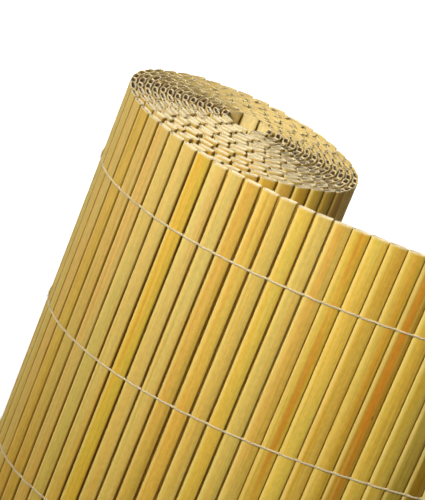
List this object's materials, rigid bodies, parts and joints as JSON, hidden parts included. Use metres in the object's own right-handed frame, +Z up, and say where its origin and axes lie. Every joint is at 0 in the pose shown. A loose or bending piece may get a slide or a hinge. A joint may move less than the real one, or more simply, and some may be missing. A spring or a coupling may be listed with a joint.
{
  "type": "rolled screening mat",
  "caption": "Roll of bamboo-look plastic screening mat standing on end: hollow flat slats sewn side by side with level courses of thread, its outer end drawn out.",
  "frame": {"origin": "middle of the footprint, on the floor that the slat ends stand on", "axes": "+Z up along the slats and the roll's axis, +X towards the loose end, front of the roll at -Y"},
  "size_m": [0.3632, 0.2376, 1],
  "materials": {
    "slat_pvc": "satin, bamboo-look",
    "sewing_thread": "twisted cream thread"
  },
  "bodies": {
    "root": {"turn_01_slats": "slat_pvc", "turn_02_slats": "slat_pvc", "turn_03_slats": "slat_pvc", "turn_04_slats": "slat_pvc", "turn_05_slats": "slat_pvc", "turn_06_slats": "slat_pvc", "turn_07_slats": "slat_pvc", "turn_08_slats": "slat_pvc", "turn_09_slats": "slat_pvc", "turn_10_slats": "slat_pvc", "turn_11_slats": "slat_pvc", "turn_12_slats": "slat_pvc", "turn_13_slats": "slat_pvc", "loose_end_slats": "slat_pvc", "thread_course_1": "sewing_thread", "thread_course_2": "sewing_thread", "thread_course_3": "sewing_thread", "thread_course_4": "sewing_thread", "thread_course_5": "sewing_thread", "thread_course_6": "sewing_thread", "thread_course_7": "sewing_thread", "thread_course_8": "sewing_thread"}
  },
  "joints": []
}
